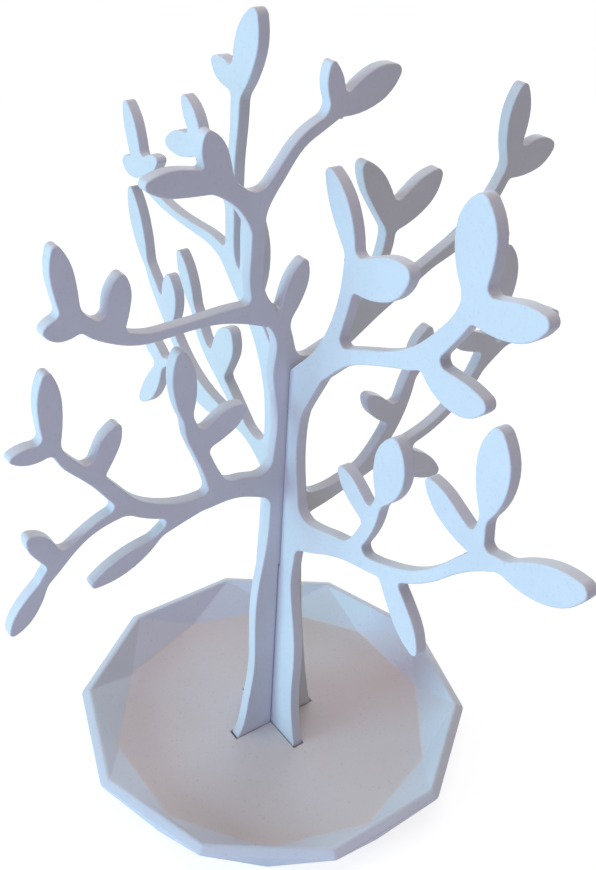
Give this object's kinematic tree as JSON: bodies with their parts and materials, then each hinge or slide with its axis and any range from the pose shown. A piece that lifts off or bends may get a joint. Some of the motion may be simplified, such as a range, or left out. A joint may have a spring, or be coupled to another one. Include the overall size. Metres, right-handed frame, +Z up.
{
  "type": "jewellery tree",
  "caption": "Jewellery tree of flat-cut silhouettes crossed at right angles in a lap joint, with leafy branches to hang jewellery on, standing in a shallow faceted ten-sided dish.",
  "frame": {"origin": "under the middle of the dish, on the surface it stands on", "axes": "+Z up; +X along the main silhouette, towards the far right of the picture; +Y along the cross silhouette, towards the far left of the picture"},
  "size_m": [0.213, 0.2196, 0.2524],
  "materials": {
    "dish": "matte off-white with very fine dark specks",
    "boards": "matte off-white with very fine dark specks"
  },
  "bodies": {
    "tray": {"tray": "dish"},
    "cross_panel": {"cross_panel": "boards"},
    "main_panel": {"main_panel": "boards"}
  },
  "joints": [
    {"name": "cross_lift", "type": "slide", "parent": "tray", "child": "cross_panel", "axis": [0, 0, 1], "range_m": [0, 0.03]},
    {"name": "main_lift", "type": "slide", "parent": "cross_panel", "child": "main_panel", "axis": [0, 0, 1], "range_m": [0, 0.085]}
  ]
}
